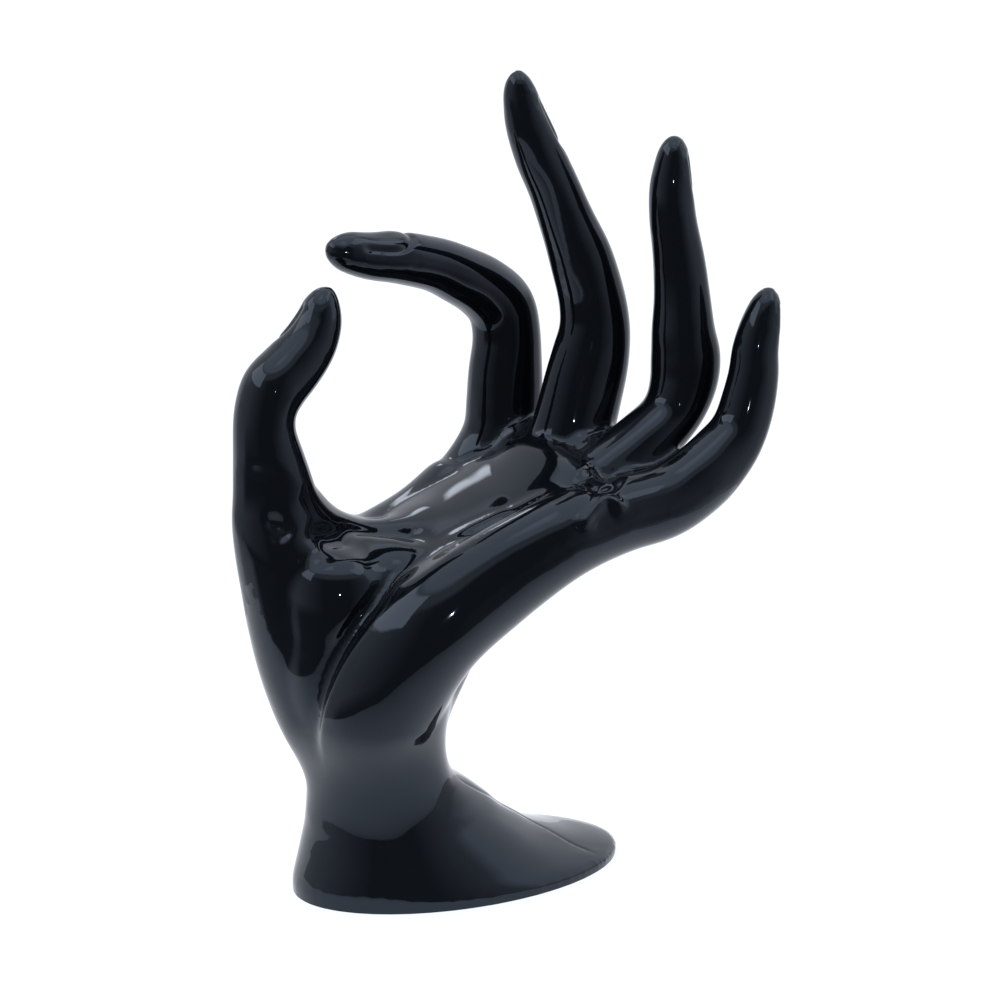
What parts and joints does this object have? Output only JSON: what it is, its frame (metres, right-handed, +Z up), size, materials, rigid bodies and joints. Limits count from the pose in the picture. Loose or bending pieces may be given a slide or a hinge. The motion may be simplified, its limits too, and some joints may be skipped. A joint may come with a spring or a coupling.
{
  "type": "hand jewelry stand",
  "caption": "Glossy black moulded hand on a flared oval foot, thumb and index finger curved toward each other to hold bangles, other fingers raised for rings.",
  "frame": {"origin": "on the table under the wrist, on the flat sole of the foot", "axes": "+Z up along the wrist, +X toward the long end of the foot under the back of the hand, +Y toward the thumb's side of the hand"},
  "size_m": [0.105, 0.0587, 0.1656],
  "materials": {
    "black_plastic": "gloss"
  },
  "bodies": {
    "root": {"hand_stand": "black_plastic"}
  },
  "joints": []
}
